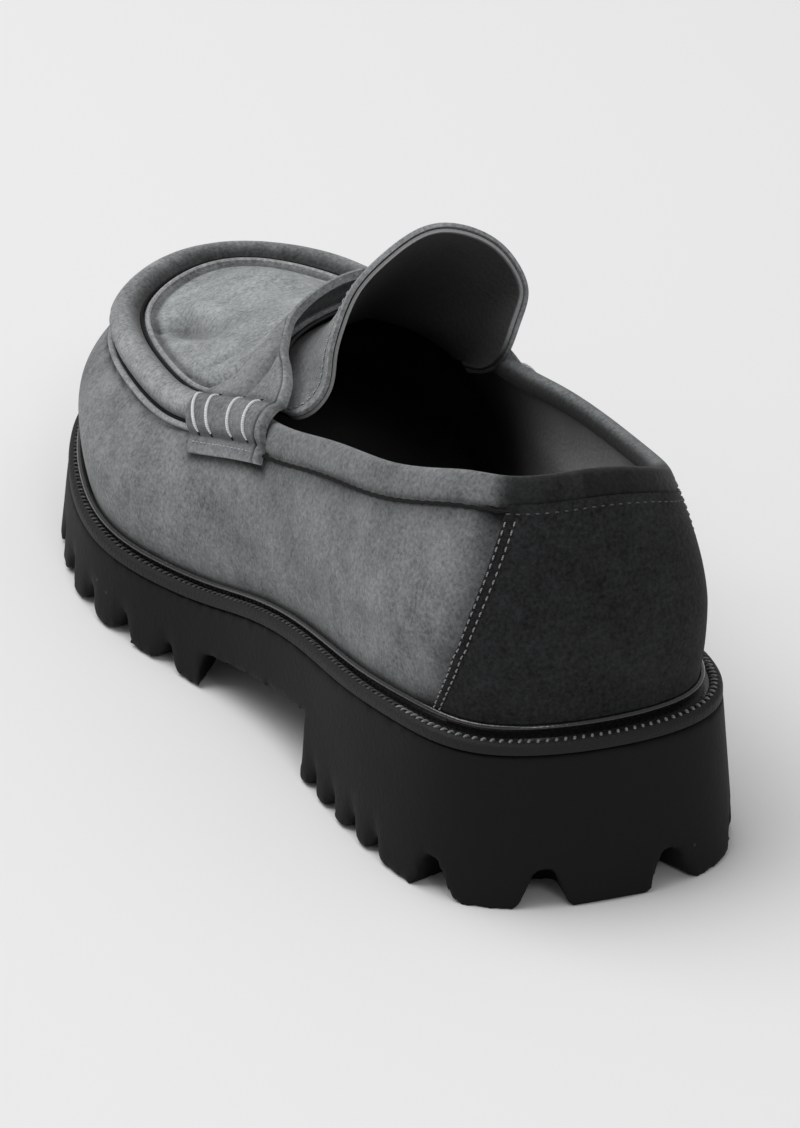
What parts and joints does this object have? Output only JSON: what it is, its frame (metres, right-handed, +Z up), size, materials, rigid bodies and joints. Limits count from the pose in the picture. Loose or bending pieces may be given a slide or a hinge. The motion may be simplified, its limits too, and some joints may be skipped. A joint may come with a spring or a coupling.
{
  "type": "suede loafer",
  "caption": "Left loafer with a hollow suede upper, apron roll, instep strap and raised tongue on a thick lugged rubber sole with a stitched welt.",
  "frame": {"origin": "Middle of the sole's box, on the floor.", "axes": "+X to the toe, +Y to the outer side of the left foot, +Z up."},
  "size_m": [0.3056, 0.1216, 0.1213],
  "materials": {
    "sole_rubber": "matte moulded black rubber",
    "welt_rubber": "smooth black rubber with a soft gloss",
    "grey_suede": "napped grey suede with a near-black heel panel",
    "roll_suede": "napped grey suede",
    "strap_suede": "napped light grey suede",
    "tongue_leather": "grey suede outside, smooth black lining inside",
    "black_lining": "smooth black lining leather",
    "thread": "pale sewing thread"
  },
  "bodies": {
    "root": {"outsole": "sole_rubber", "welt": "welt_rubber", "upper": "grey_suede", "moc_roll": "roll_suede", "saddle": "strap_suede", "tongue": "tongue_leather", "insole": "black_lining"}
  },
  "joints": []
}
